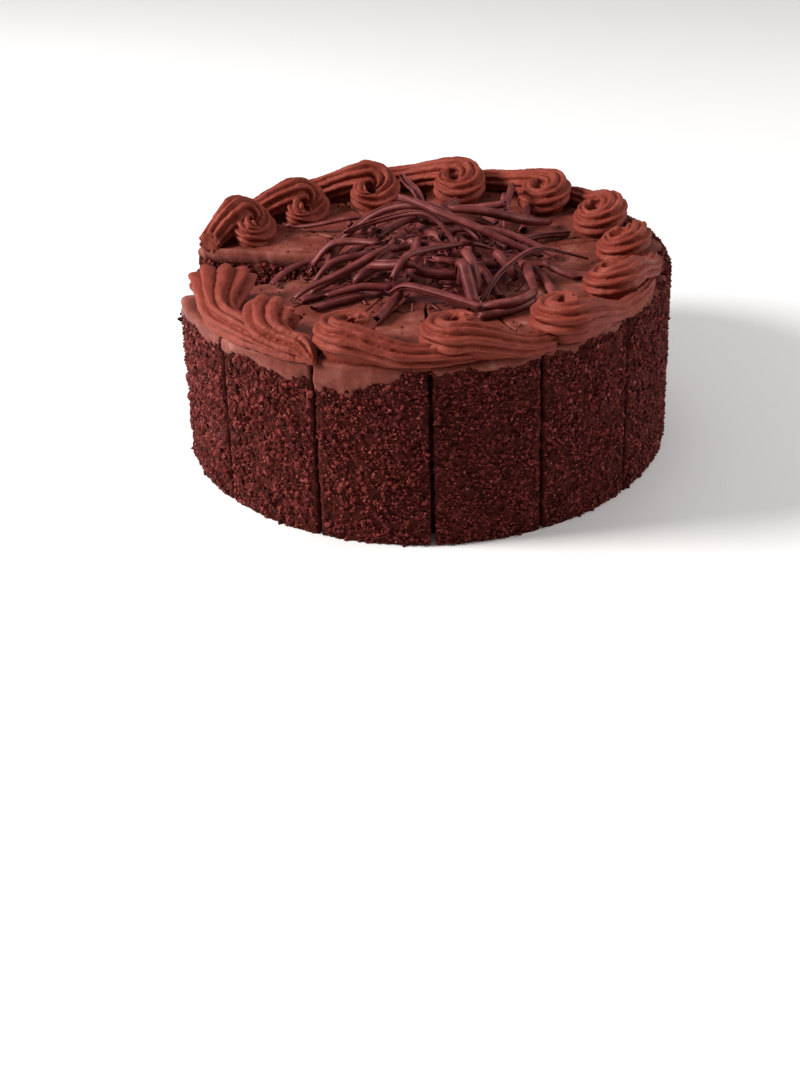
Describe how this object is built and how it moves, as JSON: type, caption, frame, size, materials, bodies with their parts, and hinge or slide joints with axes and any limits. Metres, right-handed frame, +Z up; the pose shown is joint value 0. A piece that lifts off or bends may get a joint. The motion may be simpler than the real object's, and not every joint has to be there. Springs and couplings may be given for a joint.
{
  "type": "layer cake",
  "caption": "Round dark layer cake with piped icing swirls round the rim, a heap of curls on top and one slice taken out.",
  "frame": {"origin": "on the cake's axis, in the plane that it stands on", "axes": "+Z up, the axis of the round; -Y is the front, towards the camera; the missing slice is towards -X"},
  "size_m": [0.2552, 0.26, 0.1173],
  "materials": {
    "sponge": "dark, open, crumbly sponge",
    "filling": "smooth brown cream",
    "icing": "satin icing with crumbs pressed into the side",
    "piping": "satin piped icing",
    "curls": "dark chocolate with a dull gloss"
  },
  "bodies": {
    "root": {"sponge_bottom": "sponge", "filling_lower": "filling", "sponge_middle": "sponge", "filling_upper": "filling", "sponge_top": "sponge", "icing": "icing", "shavings": "curls", "swirl_01": "piping", "swirl_02": "piping", "swirl_03": "piping", "swirl_04": "piping", "swirl_05": "piping", "swirl_06": "piping", "swirl_07": "piping", "swirl_08": "piping", "swirl_09": "piping", "swirl_10": "piping", "swirl_11": "piping", "swirl_12": "piping", "swirl_13": "piping"}
  },
  "joints": []
}
